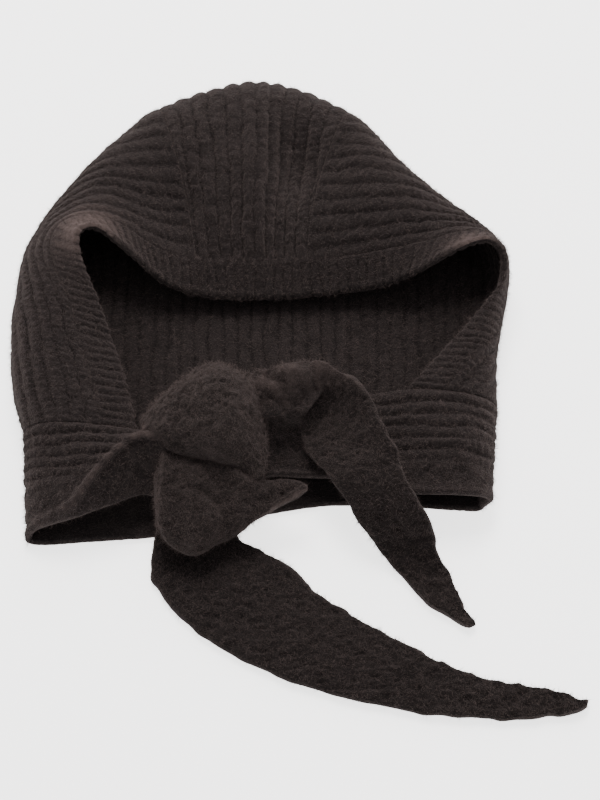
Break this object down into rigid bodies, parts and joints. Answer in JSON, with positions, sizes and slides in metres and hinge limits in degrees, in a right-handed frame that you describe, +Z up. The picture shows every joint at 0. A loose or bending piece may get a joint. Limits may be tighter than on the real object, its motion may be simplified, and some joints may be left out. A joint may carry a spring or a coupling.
{
  "type": "knit hood with ties",
  "caption": "Chunky rib-knit hood for head and neck, with a ribbed face band and long tapered neck ties knotted at the chin, laid flat on its back.",
  "frame": {"origin": "on the table, under the middle of the lying piece's bounding box", "axes": "+Z up from the table, +Y from the ties to the crown, +X to the picture's right"},
  "size_m": [0.3114, 0.3966, 0.057],
  "materials": {
    "face_band": "brushed wool knit",
    "side_panel_left": "brushed wool knit",
    "side_panel_right": "brushed wool knit",
    "crown_strip": "brushed wool knit",
    "neck_band": "brushed wool knit",
    "knot_upper_wrap": "brushed wool knit",
    "knot_lower_wrap": "brushed wool knit",
    "tie_right": "brushed wool knit",
    "tie_lower": "brushed wool knit"
  },
  "bodies": {
    "root": {"face_band": "face_band", "side_panel_left": "side_panel_left", "side_panel_right": "side_panel_right", "crown_strip": "crown_strip", "neck_band": "neck_band", "knot_upper_wrap": "knot_upper_wrap", "knot_lower_wrap": "knot_lower_wrap", "tie_right": "tie_right", "tie_lower": "tie_lower"}
  },
  "joints": []
}
